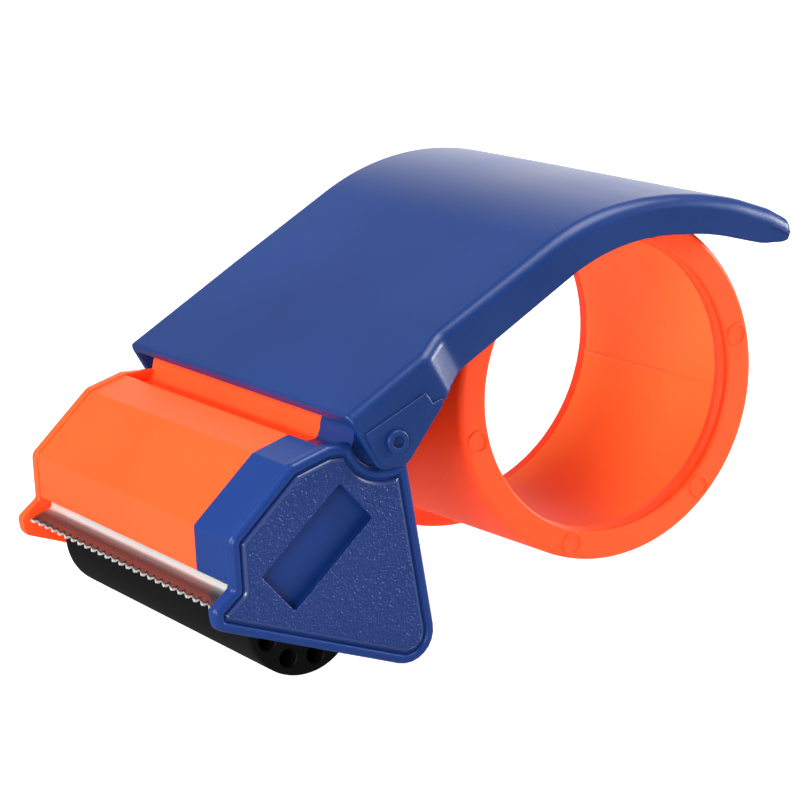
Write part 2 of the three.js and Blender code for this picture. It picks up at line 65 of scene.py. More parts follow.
def rounded(corners, steps=8):
    """Points along a closed outline of [y, z, radius] corners, steps + 1 of them to a corner."""
    pts = [np.array(c[:2], float) for c in corners]
    out = []
    for i, (_, _, radius) in enumerate(corners):
        p, last, following = pts[i], pts[i - 1], pts[(i + 1) % len(pts)]
        a, b = unit(last - p), unit(following - p)
        if radius <= 0:
            out.append(p)
            continue
        half = math.acos(max(-1, min(1, a @ b))) / 2
        start = p + a * radius / math.tan(half)
        end = p + b * radius / math.tan(half)
        centre = p + unit(a + b) * radius / math.sin(half)
        a0 = math.atan2(*(start - centre)[::-1])
        a1 = math.atan2(*(end - centre)[::-1])
        turn = (a1 - a0 + math.pi) % (2 * math.pi) - math.pi
        for k in range(steps + 1):
            t = a0 + turn * k / steps
            out.append(centre + radius * np.array([math.cos(t), math.sin(t)]))
    return np.array(out)


def inset(corners, distance):
    """The corners of a counter-clockwise outline moved inwards."""
    out = []
    for i, (y, z, radius) in enumerate(corners):
        p = np.array([y, z], float)
        into = unit(p - np.array(corners[i - 1][:2], float))
        away = unit(np.array(corners[(i + 1) % len(corners)][:2], float) - p)
        normal = np.array([-into[1] - away[1], into[0] + away[0]])
        moved = p + normal * distance / (1 + into @ away)
        left = into[0] * away[1] - into[1] * away[0] > 0
        new_radius = radius - distance if left else radius + distance * 0.3
        out.append([*moved, max(0.2, new_radius) if radius > 0 else 0])
    return out


def at_x(outline, x):
    return np.column_stack([np.full(len(outline), x), outline])


class Solid:
    """Collects vertices and faces of one piece, in millimetres."""

    def __init__(self):
        self.verts, self.faces, self.fills = [], [], []

    def ring(self, points):
        start = len(self.verts)
        self.verts.extend(np.asarray(points, float).tolist())
        return list(range(start, len(self.verts)))

    def bridge(self, a, b, closed=True):
        n = len(a)
        for i in range(n if closed else n - 1):
            j = (i + 1) % n
            self.faces.append([a[i], a[j], b[j], b[i]])

    def loft(self, rings, cap_start=True, cap_end=True, closed=False):
        ids = [self.ring(r) for r in rings]
        for a, b in zip(ids, ids[1:]):
            self.bridge(a, b)
        if closed:
            self.bridge(ids[-1], ids[0])
        if cap_start and not closed:
            self.fills.append([ids[0]])
        if cap_end and not closed:
            self.fills.append([ids[-1]])
        return ids

    def build(self, name, material, body, nodes=(), angle=34, weighted=True):
        bm = bmesh.new()
        vs = [bm.verts.new(Vector(p)) for p in place(self.verts)]
        for f in self.faces:
            bm.faces.new([vs[i] for i in f])
        for loops in self.fills:
            edges = []
            for loop in loops:
                for i, j in zip(loop, loop[1:] + loop[:1]):
                    e = bm.edges.get((vs[i], vs[j])) or bm.edges.new((vs[i], vs[j]))
                    edges.append(e)
            bmesh.ops.triangle_fill(bm, edges=edges, use_beauty=True)
        bmesh.ops.remove_doubles(bm, verts=bm.verts, dist=2e-7)
        bmesh.ops.recalc_face_normals(bm, faces=bm.faces)
        mesh = bpy.data.meshes.new(name)
        bm.to_mesh(mesh)
        bm.free()
        mesh.shade_smooth()
        mesh.set_sharp_from_angle(angle=math.radians(angle))
        mesh.materials.append(material)
        piece = bpy.data.objects.new(name, mesh)
        bpy.context.scene.collection.objects.link(piece)
        if weighted:
            modifier = piece.modifiers.new("normals", "WEIGHTED_NORMAL")
            modifier.keep_sharp = True
        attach(piece, body)
        if nodes:
            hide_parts(*nodes)
        return piece


def bevel(piece, width, segments, angle):
    """Rounds the edges sharper than an angle in degrees; the width is in metres."""
    edges = piece.modifiers.new("edges", "BEVEL")
    edges.width = width
    edges.segments = segments
    edges.limit_method = "ANGLE"
    edges.angle_limit = math.radians(angle)


def full_turn(count):
    """Evenly spread angles around a circle, the last one short of the first."""
    return np.linspace(0, 2 * math.pi, count + 1)[:-1]


def circle(radius, x, centre=(0, 0), segments=160):
    """Points around an X axis through centre."""
    return [[x, centre[0] + radius * math.cos(t), centre[1] + radius * math.sin(t)]
            for t in full_turn(segments)]


def turned(solid, profile, centre=(0, 0), segments=96):
    """A body turned about an X axis from a closed [radius, x] profile."""
    rings = []
    for k in range(segments):
        t = 2 * math.pi * k / segments
        c, s = math.cos(t), math.sin(t)
        rings.append([[x, centre[0] + r * c, centre[1] + r * s] for r, x in profile])
    solid.loft(rings, closed=True)


def soft(corners, steps=5):
    """A closed profile of [radius, x, rounding] corners as [radius, x] points."""
    return rounded(corners, steps).tolist()


def slab(solid, outline_at, x0, x1, r0, r1, steps=5):
    """An extrusion along x whose two ends are rounded over; outline_at(inset) gives the outline."""
    turns = [math.pi / 2 * k / steps for k in range(steps + 1)]
    first = [(x0 + r0 * (1 - math.sin(t)), r0 * (1 - math.cos(t))) for t in reversed(turns)]
    second = [(x1 - r1 * (1 - math.sin(t)), r1 * (1 - math.cos(t))) for t in turns]
    solid.loft([at_x(outline_at(i), x) for x, i in first + second])


# ---- materials -------------------------------------------------------------------------------
GLOSS_SPREAD = 0.06              # how far the roughness of a plastic wanders each way


def plastic(name, base, dark, roughness, grain_scale, grain_strength,
            grain_depth=0.0001, specular=0.5, cells=False, glow=0.0):
    """Moulded plastic: slow colour and gloss variation, and a fine grain in the surface."""
    m = bpy.data.materials.new(name)
    m.use_nodes = True
    nodes, links = m.node_tree.nodes, m.node_tree.links
    bsdf = nodes["Principled BSDF"]
    coords = nodes.new("ShaderNodeTexCoord")

    def noise(scale, detail):
        n = nodes.new("ShaderNodeTexNoise")
        n.inputs["Scale"].default_value = scale
        n.inputs["Detail"].default_value = detail
        links.new(coords.outputs["Object"], n.inputs["Vector"])
        return n

    cloud, fine = noise(22, 3), noise(grain_scale, 2)
    ramp = nodes.new("ShaderNodeValToRGB")
    ramp.color_ramp.elements[0].color = (*dark, 1)
    ramp.color_ramp.elements[1].color = (*base, 1)
    ramp.color_ramp.elements[0].position = 0.3
    ramp.color_ramp.elements[1].position = 0.62
    links.new(cloud.outputs["Fac"], ramp.inputs["Fac"])
    links.new(ramp.outputs["Color"], bsdf.inputs["Base Color"])
    span = nodes.new("ShaderNodeMapRange")
    span.inputs["To Min"].default_value = roughness - GLOSS_SPREAD
    span.inputs["To Max"].default_value = roughness + GLOSS_SPREAD
    links.new(cloud.outputs["Fac"], span.inputs["Value"])
    links.new(span.outputs["Result"], bsdf.inputs["Roughness"])
    bump = nodes.new("ShaderNodeBump")
    bump.inputs["Strength"].default_value = grain_strength
    bump.inputs["Distance"].default_value = grain_depth
    height = fine.outputs["Fac"]
    if cells:
        pebbles = nodes.new("ShaderNodeTexVoronoi")
        pebbles.feature = "SMOOTH_F1"
        pebbles.inputs["Scale"].default_value = grain_scale * 0.7
        links.new(coords.outputs["Object"], pebbles.inputs["Vector"])
        mix = nodes.new("ShaderNodeMath")
        mix.operation = "ADD"
        links.new(height, mix.inputs[0])
        links.new(pebbles.outputs["Distance"], mix.inputs[1])
        height = mix.outputs["Value"]
    links.new(height, bump.inputs["Height"])
    links.new(bump.outputs["Normal"], bsdf.inputs["Normal"])
    bsdf.inputs["Specular IOR Level"].default_value = specular
    bsdf.inputs["Subsurface Weight"].default_value = glow
    bsdf.inputs["Subsurface Radius"].default_value = (1.0, 0.3, 0.12)
    bsdf.inputs["Subsurface Scale"].default_value = 0.002
    return m


def metal(name, base, roughness, stretch, metallic=1.0, painted_light_stops=None):
    """Steel with fine lines along one direction; painted_light_stops are [height in mm, factor]
    stops that darken or brighten the colour by height, as painted shade and painted highlight.
    """
    m = bpy.data.materials.new(name)
    m.use_nodes = True
    nodes, links = m.node_tree.nodes, m.node_tree.links
    bsdf = nodes["Principled BSDF"]
    bsdf.inputs["Metallic"].default_value = metallic
    coords = nodes.new("ShaderNodeTexCoord")
    mapping = nodes.new("ShaderNodeMapping")
    mapping.inputs["Scale"].default_value = stretch
    links.new(coords.outputs["Object"], mapping.inputs["Vector"])
    lines = nodes.new("ShaderNodeTexNoise")
    lines.inputs["Scale"].default_value = 1.0
    lines.inputs["Detail"].default_value = 4
    links.new(mapping.outputs["Vector"], lines.inputs["Vector"])
    ramp = nodes.new("ShaderNodeValToRGB")
    ramp.color_ramp.elements[0].color = (*[c * 0.86 for c in base], 1)
    ramp.color_ramp.elements[1].color = (*base, 1)
    links.new(lines.outputs["Fac"], ramp.inputs["Fac"])
    colour = ramp.outputs["Color"]
    # painted light: the colour is scaled by height, standing in for reflections, shade and glints
    if painted_light_stops:
        split = nodes.new("ShaderNodeSeparateXYZ")
        links.new(coords.outputs["Object"], split.inputs["Vector"])
        span = nodes.new("ShaderNodeMapRange")
        lowest, highest = painted_light_stops[0][0], painted_light_stops[-1][0]
        span.inputs["From Min"].default_value = float(HUB_AXIS[2]) + lowest * MM
        span.inputs["From Max"].default_value = float(HUB_AXIS[2]) + highest * MM
        links.new(split.outputs["Z"], span.inputs["Value"])
        steps = nodes.new("ShaderNodeValToRGB")
        for k, (height, painted_factor) in enumerate(painted_light_stops):
            at = (height - lowest) / (highest - lowest)
            stop = steps.color_ramp.elements[k] if k < 2 else steps.color_ramp.elements.new(at)
            stop.position = at
            stop.color = (painted_factor, painted_factor, painted_factor, 1)
        links.new(span.outputs["Result"], steps.inputs["Fac"])
        painted_light_mix = nodes.new("ShaderNodeVectorMath")
        painted_light_mix.operation = "MULTIPLY"
        links.new(colour, painted_light_mix.inputs[0])
        links.new(steps.outputs["Color"], painted_light_mix.inputs[1])
        colour = painted_light_mix.outputs["Vector"]
    links.new(colour, bsdf.inputs["Base Color"])
    span = nodes.new("ShaderNodeMapRange")
    span.inputs["To Min"].default_value = max(0.03, roughness - 0.05)
    span.inputs["To Max"].default_value = roughness + 0.07
    links.new(lines.outputs["Fac"], span.inputs["Value"])
    links.new(span.outputs["Result"], bsdf.inputs["Roughness"])
    bump = nodes.new("ShaderNodeBump")
    bump.inputs["Strength"].default_value = 0.08
    bump.inputs["Distance"].default_value = 0.00005
    links.new(lines.outputs["Fac"], bump.inputs["Height"])
    links.new(bump.outputs["Normal"], bsdf.inputs["Normal"])
    return m


ORANGE = plastic("orange_gloss", (1.0, 0.066, 0.012), (0.97, 0.060, 0.010), 0.36, 900, 0.05,
                 specular=0.17, glow=0.25)
# painted light: a lighter, lit copy of the orange for the inside of the bore
ORANGE_PAINTED_LIGHT = plastic("orange_painted_light", (1.0, 0.190, 0.040), (0.97, 0.175, 0.036), 0.38, 900, 0.05,
                     specular=0.07, glow=0.2)
BLUE_SATIN = plastic("blue_satin", (0.004, 0.023, 0.125), (0.003, 0.020, 0.110), 0.33, 1100, 0.10,
                     specular=0.24)
BLUE_GRAIN = plastic("blue_grain", (0.004, 0.023, 0.115), (0.003, 0.018, 0.092), 0.36, 2600, 0.35,
                     specular=0.25)
BLUE_LEATHER = plastic("blue_leather", (0.004, 0.020, 0.112), (0.003, 0.017, 0.096), 0.33, 2500,
                       0.8, grain_depth=0.00026, specular=0.36, cells=True)
# painted highlight: a slightly lighter blue than the cover's satin, with a raised specular, for the
# bright line along the panel's lip
BLUE_PAINTED_HIGHLIGHT = plastic("blue_painted_highlight", (0.008, 0.026, 0.125), (0.007, 0.023, 0.110), 0.30, 1100, 0.10,
                    specular=0.9)
RUBBER = plastic("black_rubber", (0.003, 0.003, 0.0035), (0.002, 0.002, 0.0025), 0.55, 1800, 0.3,
                 specular=0.08)
WHITE = plastic("white_acetal", (0.72, 0.71, 0.66), (0.66, 0.65, 0.60), 0.42, 900, 0.05)
# the blade's colour is painted by height: a bright band of painted reflection at the top, painted
# shade below it, and bright tooth tips as painted glints
STEEL = metal("blade_steel", (0.80, 0.79, 0.77), 0.20, (15, 300, 300), metallic=0.6,
              painted_light_stops=[(-31.5, 1.0), (-31.36, 0.8), (-31.24, 0.06), (-30.1, 0.10), (-29.6, 0.35),
                      (-29.2, 1.0)])
ZINC = metal("zinc_steel", (0.58, 0.59, 0.60), 0.28, (60, 1400, 1400))

# ---- shared outlines, as in the CAD ----------------------------------------------------------
PLATE = [
    [-60.3, -1.5, 0.6], [-77.3, -1.5, 1.5], [-85.6, -4.3, 3], [-98.9, -17.4, 2.5],
    [-98.3, -27.2, 1], [-102.6, -30.9, 1.6], [-101.9, -34.7, 2.4], [-51.2, -50.6, 6.3],
]
FACE, WALL = 46.0, 3.0           # the x of a side plate's outer face, and its wall
SEAM, SEAM_GAP = 30.0, 0.05      # where the hood changes colour
NOTCH = (-64.5, 0.5, 7.8)        # y, z and radius
HINGE = (-63.7, -1.5)
BARREL = 6.5


def plate_outline(distance):
    return rounded(inset(PLATE, distance))


def cover_outline(distance):
    """The side plate's outline with the round clearance for the handle's ear."""
    corners = inset(PLATE, distance)
    steps = 8
    outline = rounded(corners, steps)[steps + 1:]
    ny, nz, radius = NOTCH
    radius += distance
    centre = np.array([ny, nz])
    top = corners[0][1]
    end = np.array([ny - math.sqrt(radius ** 2 - (nz - top) ** 2), top])
    low = np.array(corners[-1][:2])
    along = unit(np.array(corners[0][:2]) - low)
    w = low - centre
    b = w @ along
    start = low + along * (-b - math.sqrt(b * b - (w @ w - radius ** 2)))
    a0 = math.atan2(*(start - centre)[::-1])
    a1 = math.atan2(*(end - centre)[::-1])
    if a1 > a0:
        a1 -= 2 * math.pi
    arc = [centre + radius * np.array([math.cos(t), math.sin(t)])
           for t in np.linspace(a0, a1, 25)]
    return np.vstack([arc, outline])


def hood_outline():
    """Hood skin and hinge barrel as one closed cross-section."""
    front = rounded([
        [-66, -6.4, 0], [-73.9, -6.9, 1], [-77.2, -4.2, 1], [-84.5, -6.7, 1.0], [-96.4, -18.4, 0.5],
        [-95.9, -26.9, 0.4], [-97.95, -26.9, 0.5], [-98.5, -17.6, 0.9], [-85.4, -4.75, 1.2],
        [-77.2, -1.9, 1.2], [-74.2, -3.9, 1.6], [-70.9, -3.4, 1.2], [-70.2, -1.6, 0],
    ], 6)
    arc = [[HINGE[0] + BARREL * math.cos(t), HINGE[1] + BARREL * math.sin(t)]
           for t in np.linspace(math.pi, -math.radians(115), 40)]
    return np.vstack([front[1:-1], arc])


def plain_extrusion(solid, outline, x0, x1, ease=0.12):
    solid.loft([at_x(outline, x) for x in (x0, x0 + ease, x1 - ease, x1)])


# ---- orange frame ----------------------------------------------------------------------------
hood = Solid()
plain_extrusion(hood, hood_outline(), -FACE + 2.2, SEAM - SEAM_GAP)
hood.build("frame_hood", ORANGE, "frame", ["side_frame"])

far_plate = Solid()
slab(far_plate, plate_outline, -FACE, -FACE + WALL, 1.2, 0.4)
far_plate.build("frame_far_plate", ORANGE, "frame")

ARM_INNER, ARM_THICK = -30.9, 2.6
ARM_FRONT = -62.0
ARM_SHY = 0.03                   # its faces lie this far inside the flange's
ARM_CUT = 38.9                   # the arm stops inside the flange's ring
ARM_TOP = [[-64, -3.5], [-58, -3], [-45, 11], [-31, 22], [0, 25]]
ARM_LOW = [[-64, -44], [-60, -43], [-52.5, -41], [-30, -37.5], [-10, -41.5], [0, -42]]


def smooth_table(table, y, reach=3.0):
    ys, zs = np.array(table).T
    samples = np.linspace(-reach, reach, 13)
    return float(np.mean(np.interp(y + samples, ys, zs)))


def crank(y):
    """The x of the arm's inner face: it steps in from the side plate to the hub, softly."""
    samples = y + np.linspace(-1.4, 1.4, 9)
    return float(np.interp(samples, [-58, -46], [-FACE + WALL, ARM_INNER]).mean())


def arm_sheet(solid, columns, open_start, open_end):
    """A plate of ARM_THICK from columns of [y, z] points, walled along its open edges."""
    def face(offset):
        rows = [solid.ring([[crank(y) + offset, y, z] for y, z in column]) for column in columns]
        for a, b in zip(rows, rows[1:]):
            solid.bridge(a, b, closed=False)
        return rows

    front, rear = face(-ARM_SHY), face(ARM_SHY - ARM_THICK)
    for row in (0, -1):
        solid.bridge([c[row] for c in front], [c[row] for c in rear], closed=False)
    if not open_start:
        solid.bridge(front[0], rear[0], closed=False)
    if not open_end:
        solid.bridge(front[-1], rear[-1], closed=False)


def arm_edges(y):
    return smooth_table(ARM_LOW, y), smooth_table(ARM_TOP, y)


arm = Solid()
columns = []
for y in np.concatenate([np.linspace(ARM_FRONT, -44, 37), np.linspace(-43, -ARM_CUT, 8)]):
    low, top = arm_edges(y)
    mid = np.interp(y, [ARM_FRONT, -ARM_CUT], [(low + top) / 2, 0.0])
    columns.append([[y, z] for z in [*np.linspace(low, mid, 5), *np.linspace(mid, top, 5)[1:]]])
arm_sheet(arm, columns, False, True)
lower, upper = [], []
for angle in np.linspace(0, math.pi / 2, 46):
    y, z = -ARM_CUT * math.cos(angle), ARM_CUT * math.sin(angle)
    low, top = arm_edges(y)
    lower.append([[y, v] for v in np.linspace(low, -z, 5)])
    if top - z > 0.3:
        upper.append([[y, v] for v in np.linspace(z, top, 5)])
arm_sheet(arm, lower, True, False)
arm_sheet(arm, upper, True, False)
arm_piece = arm.build("frame_arm", ORANGE, "frame", weighted=False)
bevel(arm_piece, 0.0005, 3, 60)
arm_piece.modifiers.new("normals", "WEIGHTED_NORMAL").keep_sharp = True

OUTER_X = ARM_INNER - ARM_THICK
FLANGE_CENTRE = (0, -2.3)        # the flange's outside hangs lower than its bore
flange = Solid()
flange.loft([
    circle(36.6, ARM_INNER), circle(40.2, ARM_INNER, FLANGE_CENTRE),
    circle(40.6, ARM_INNER - 0.18, FLANGE_CENTRE), circle(40.8, ARM_INNER - 0.6, FLANGE_CENTRE),
    circle(40.8, OUTER_X + 0.6, FLANGE_CENTRE), circle(40.6, OUTER_X + 0.18, FLANGE_CENTRE),
    circle(40.2, OUTER_X, FLANGE_CENTRE), circle(37.1, OUTER_X), circle(36.7, OUTER_X + 0.15),
    circle(36.6, OUTER_X + 0.5),
], closed=True)
flange.build("frame_flange", ORANGE, "frame")

# ---- hub -------------------------------------------------------------------------------------
HUB_SEGMENTS = 180
hub = Solid()
turned(hub, soft([
    [36.6, -30.7, 0.3], [40.0, -30.7, 0.4], [38.5, -28.6, 1.6], [37.5, 30.4, 1.4],
    [30.9, 30.4, 0.6], [31.9, 27.9, 0.4], [30.9, 27.2, 0.25], [31.3, 25.2, 0.35],
    [32.6, 25.2, 0.4], [33.6, 28.0, 0.5], [35.5, 28.4, 0.8],
], 6), segments=HUB_SEGMENTS)
hub.build("hub_shell", ORANGE, "frame", ["hub_drum"])

# painted light: a thin skin inside the drum in a lighter, lit copy of the orange, as bright as the
# photo shows the bore
painted_light_skin = Solid()
turned(painted_light_skin, [[36.48, -30.55], [35.4, 27.6], [36.0, 27.6], [37.2, -30.55]],
       segments=HUB_SEGMENTS)
painted_light_skin.build("hub_painted_light_skin", ORANGE_PAINTED_LIGHT, "frame")

# the weld line: a shallow wedge along the bore, as [radius beyond the bore, angle]
CREASE = [[0.3, -8.2], [-0.36, -8.2], [-0.34, -8.6], [0.3, -10.5]]
crease = Solid()
crease_rings = []
for x in np.linspace(-30.5, 24.0, 12):
    bore = np.interp(x, [-30.7, 28.4], [36.6, 35.5])
    crease_rings.append([[x, (bore + out) * math.cos(math.radians(a)),
                          (bore + out) * math.sin(math.radians(a))] for out, a in CREASE])
crease.loft(crease_rings)
# the weld line takes the bore's painted-light orange too
crease.build("hub_weld_line", ORANGE_PAINTED_LIGHT, "frame", angle=60)

MARK_CIRCLE = 34.1
MARK_PROFILE = [[1.85, 30.2, 0], [2.55, 30.2, 0], [2.4, 30.7, 0.1], [2.0, 30.7, 0.1]]
marks = Solid()
for angle in (13.5, -45.7, -105.7, -165.7, 133, 73):
    cy = MARK_CIRCLE * math.cos(math.radians(angle))
    cz = MARK_CIRCLE * math.sin(math.radians(angle))
    turned(marks, soft(MARK_PROFILE, 3), (cy, cz), 32)
marks.build("hub_ejector_marks", ORANGE, "frame")

# ---- blue side cover -------------------------------------------------------------------------
RECESS = {"y": -79.9, "z": -21.1, "length": 23.8, "width": 10.5, "angle": math.radians(43.5),
          "depth": 2.4}          # it ends just outside the guide axle


def recess_outline(grow, radius=0.5):
    half_l, half_w = RECESS["length"] / 2 + grow, RECESS["width"] / 2 + grow
    c, s = math.cos(RECESS["angle"]), math.sin(RECESS["angle"])
    corners = [[-half_l, -half_w], [half_l, -half_w], [half_l, half_w], [-half_l, half_w]]
    return rounded([[RECESS["y"] + a * c - b * s, RECESS["z"] + a * s + b * c, radius]
                    for a, b in corners], 4)


BEAD = 1.25
PANEL_FACE = FACE + 0.02
MOUTH = (FACE - 0.1, 0.06)       # the x and the growth of the recess's edge

# levels of the cover: [x, how far the outline is moved inwards]
RIM = [(FACE - WALL, 0.4), (FACE - WALL + 0.12, 0.12), (FACE - WALL + 0.4, 0)]
RIM += [(FACE - BEAD + BEAD * math.sin(t), BEAD * (1 - math.cos(t)))
        for t in np.linspace(0, math.pi / 2, 8)]
RIM += [(FACE - 0.03, 1.6), (FACE - 0.2, 1.85), (FACE - 0.55, 2.0), (FACE - 0.8, 2.12),
        (FACE - 0.85, 2.3), (FACE - 0.85, 2.5)]
LIP = [(FACE - 0.95, 2.42), (FACE - 0.75, 2.42), (FACE - 0.45, 2.56), (FACE - 0.12, 2.85),
       (PANEL_FACE, 3.2), (FACE - 0.1, 3.3)]
PANEL = [(FACE - 0.05, 3.15), (PANEL_FACE, 3.3), (PANEL_FACE, 3.5)]


def cover_rings(levels):
    return [at_x(cover_outline(distance), x) for x, distance in levels]


cover = Solid()
cover.loft(cover_rings(RIM), cap_end=False)
cover.build("cover_rim", BLUE_SATIN, "frame", ["side_cover"])

# the lip is drawn in the lighter blue of the painted highlight
lip = Solid()
lip.loft(cover_rings(LIP), cap_start=False, cap_end=False)
lip.build("cover_panel_lip", BLUE_PAINTED_HIGHLIGHT, "frame")

panel = Solid()
panel_ids = panel.loft(cover_rings(PANEL), cap_start=False, cap_end=False)
recess_edge = panel.ring(at_x(recess_outline(0.2), PANEL_FACE))
recess_lip = panel.ring(at_x(recess_outline(MOUTH[1]), MOUTH[0]))
panel.bridge(recess_edge, recess_lip)
panel.fills.append([panel_ids[-1], recess_edge])
panel.build("cover_panel", BLUE_LEATHER, "frame")

RECESS_FLOOR = FACE - RECESS["depth"]
POCKET = [MOUTH, (FACE - 0.25, 0), (RECESS_FLOOR + 0.15, 0.9), (RECESS_FLOOR, 0.8)]
pocket = Solid()
pocket.loft([at_x(recess_outline(grow), x) for x, grow in POCKET], cap_start=False)
pocket.build("cover_recess", BLUE_SATIN, "frame")

cover_hood = Solid()
plain_extrusion(cover_hood, hood_outline(), SEAM + SEAM_GAP, FACE - WALL + 0.2)
cover_hood.build("cover_hood", BLUE_SATIN, "frame")

# ---- handle ----------------------------------------------------------------------------------
SLOPE, TAIL = math.radians(32), math.radians(22)
CREST_R, CREST_TOP = 54.0, 42.8
CREST = np.array([3.5, CREST_TOP - CREST_R])
FRONT_Y = -74.0
HALF_WIDTH = 48.05
arc_start, arc_end = math.pi / 2 + SLOPE, math.pi / 2 - TAIL
first_tangent = CREST + CREST_R * np.array([math.cos(arc_start), math.sin(arc_start)])
last_tangent = CREST + CREST_R * np.array([math.cos(arc_end), math.sin(arc_end)])
LINE1 = (first_tangent[0] - FRONT_Y) / math.cos(SLOPE)
ARC = CREST_R * (arc_start - arc_end)
LINE2 = 14.3
LENGTH = LINE1 + ARC + LINE2
TIP_LENGTH, TIP_ROLL = 5.5, 2.0  # where the skirts fade out, and where the sheet rolls over
EAR_U = -5.8                     # the front end, measured along the slope from the hinge


def handle_point(s, depth):
    """The [y, z] at a length s along the handle's top and a depth below it."""
    if s <= LINE1:
        normal = -np.array([math.cos(arc_start), math.sin(arc_start)])
        p = first_tangent - (LINE1 - s) * np.array([math.cos(SLOPE), math.sin(SLOPE)])
    elif s <= LINE1 + ARC:
        t = arc_start - (s - LINE1) / CREST_R
        normal = -np.array([math.cos(t), math.sin(t)])
        p = CREST - CREST_R * normal
    else:
        normal = -np.array([math.cos(arc_end), math.sin(arc_end)])
        p = last_tangent + (s - LINE1 - ARC) * np.array([math.cos(TAIL), -math.sin(TAIL)])
    return p + depth * normal


SKIRT = 9.7
ear_line = rounded([[-9, SKIRT, 0], [-5.8, SKIRT, 0], [-5.8, 13.2, 2.6], [-0.57, 16.2, 3.6],
                    [13.2, 10.6, 1.6], [15.5, 9.9, 1.5], [20, SKIRT, 0], [20, 0, 0]], 12)[1:-2]


def skirt_depth(s):
    u = s + EAR_U
    if u < 16:
        return float(np.interp(u, ear_line[:, 0], ear_line[:, 1]))
    crest_s = LINE1 + CREST_R * SLOPE
    along = [crest_s - 6, crest_s + 6, LINE1 + ARC, LINE1 + ARC + 7.5, LENGTH - 3, LENGTH]
    return float(np.interp(s, along, [SKIRT, 9.5, 7.9, 6.9, 5.9, 5.4]))


def near_width(s):
    """The near skirt steps in behind the ear."""
    u = s + EAR_U + np.linspace(-1.0, 1.0, 13)
    return float(np.interp(u, [14.7, 20.4], [HALF_WIDTH, HALF_WIDTH - 3.0]).mean())


def near_drop(y):
    """The photo's handle hangs a little lower along the near edge of its crest."""
    return float(np.interp(y, [-50, -22, -5, 3, 10, 17, 24, 31, 36],
                           [0.0, 1.0, 1.6, 1.6, 1.3, 0.7, -0.3, -1.0, -0.5]))


def handle_section(near, far, top, depth, skin, wall, r, draft):
    """Closed section as [x, depth] points, from the near skirt's foot over the top and back."""
    def arc(cx, cd, radius, a0, a1, n):
        return [[cx + radius * math.cos(t), cd - radius * math.sin(t)]
                for t in np.linspace(a0, a1, n)]

    half = math.pi / 2
    foot = min(0.55, wall * 0.45, max(0.05, (depth - skin) * 0.5))
    lean = draft * (depth - top - r)
    inner = min(1.0, max(0.05, depth - skin - foot) * 0.5)
    pts = [[near - lean, depth - foot], [near - lean / 2, (depth + top) / 2]]
    pts += arc(near - r, top + r, r, 0, half, 9)
    pts += [[x, top] for x in np.linspace(near - r, -far + r, 14)[1:-1]]
    pts += arc(-far + r, top + r, r, half, 2 * half, 9)
    pts += [[-far + lean / 2, (depth + top) / 2], [-far + lean, depth - foot]]
    pts += arc(-far + lean + foot, depth - foot, foot, 2 * half, 3 * half, 4)[1:]
    pts += arc(-far + lean + wall - foot, depth - foot, foot, 3 * half, 4 * half, 4)
    pts += [[-far + wall, skin + inner]]
    pts += arc(-far + wall + inner, skin + inner, inner, 2 * half, half, 5)[1:]
    pts += [[x, skin] for x in np.linspace(-far + wall + inner, near - wall - inner, 8)[1:-1]]
    pts += arc(near - wall - inner, skin + inner, inner, half, 0, 5)
    pts += arc(near - lean - wall + foot, depth - foot, foot, 2 * half, 3 * half, 4)
    pts += arc(near - lean - foot, depth - foot, foot, 3 * half, 4 * half, 4)[:-1]
    return pts


FRONT_EASE = 0.5                 # rounding of the handle's front edge
EAR_END = 30                     # the finely cut stretch around the ears ends here
stations = [0, 0.04, 0.15, 0.32, 0.55]
for start, end, cuts in ((0.9, EAR_END, 98), (EAR_END, LINE1, 18), (LINE1, LINE1 + ARC, 54),
                         (LINE1 + ARC, LENGTH - TIP_LENGTH, 10)):
    stations += list(np.linspace(start, end, cuts)[1:])
stations += [LENGTH - TIP_LENGTH * (1 - math.sin(t)) for t in np.linspace(0, math.pi / 2, 18)[1:]]
handle = Solid()
rings = []
for s in stations:
    ease = 0.0
    if s < FRONT_EASE:
        ease = FRONT_EASE - math.sqrt(max(0.0, FRONT_EASE ** 2 - (FRONT_EASE - s) ** 2))
    near, far, top, depth, skin, wall = near_width(s), HALF_WIDTH, 0.0, skirt_depth(s), 2.4, 1.8
    r = float(np.interp(s, [30, 60], [2.3, 3.1]))
    draft = float(np.interp(s + EAR_U, [15, 22], [0.0, 0.12]))
    if s > LENGTH - TIP_LENGTH:
        q = (s - (LENGTH - TIP_LENGTH)) / TIP_LENGTH
        depth -= 2.2 * (1 - math.sqrt(max(0.0, 1 - q * q)))
        skin += (depth - 0.35 - skin) * min(1.0, q * 1.6)
    if s > LENGTH - TIP_ROLL:
        q = (s - (LENGTH - TIP_ROLL)) / TIP_ROLL
        roll = 1.2 * (1 - math.sqrt(max(0.0, 1 - q * q)))
        top += roll
        near -= roll
        far -= roll
    near, far, top, depth = near - ease, far - ease, top + ease, depth - ease
    skin, wall = skin - ease, wall - 2 * ease
    ring = []
    for x, d in handle_section(near, far, top, depth, skin, wall, r, draft):
        y, z = handle_point(s, d)
        fade = 1 - min(1.0, d / SKIRT)
        ring.append([x, y, z - fade * near_drop(y) * ((x + 48.2) / 96) ** 2])
    rings.append(ring)
handle.loft(rings)
handle.build("handle_shell_skin", BLUE_GRAIN, "handle", ["handle_shell"], angle=40)

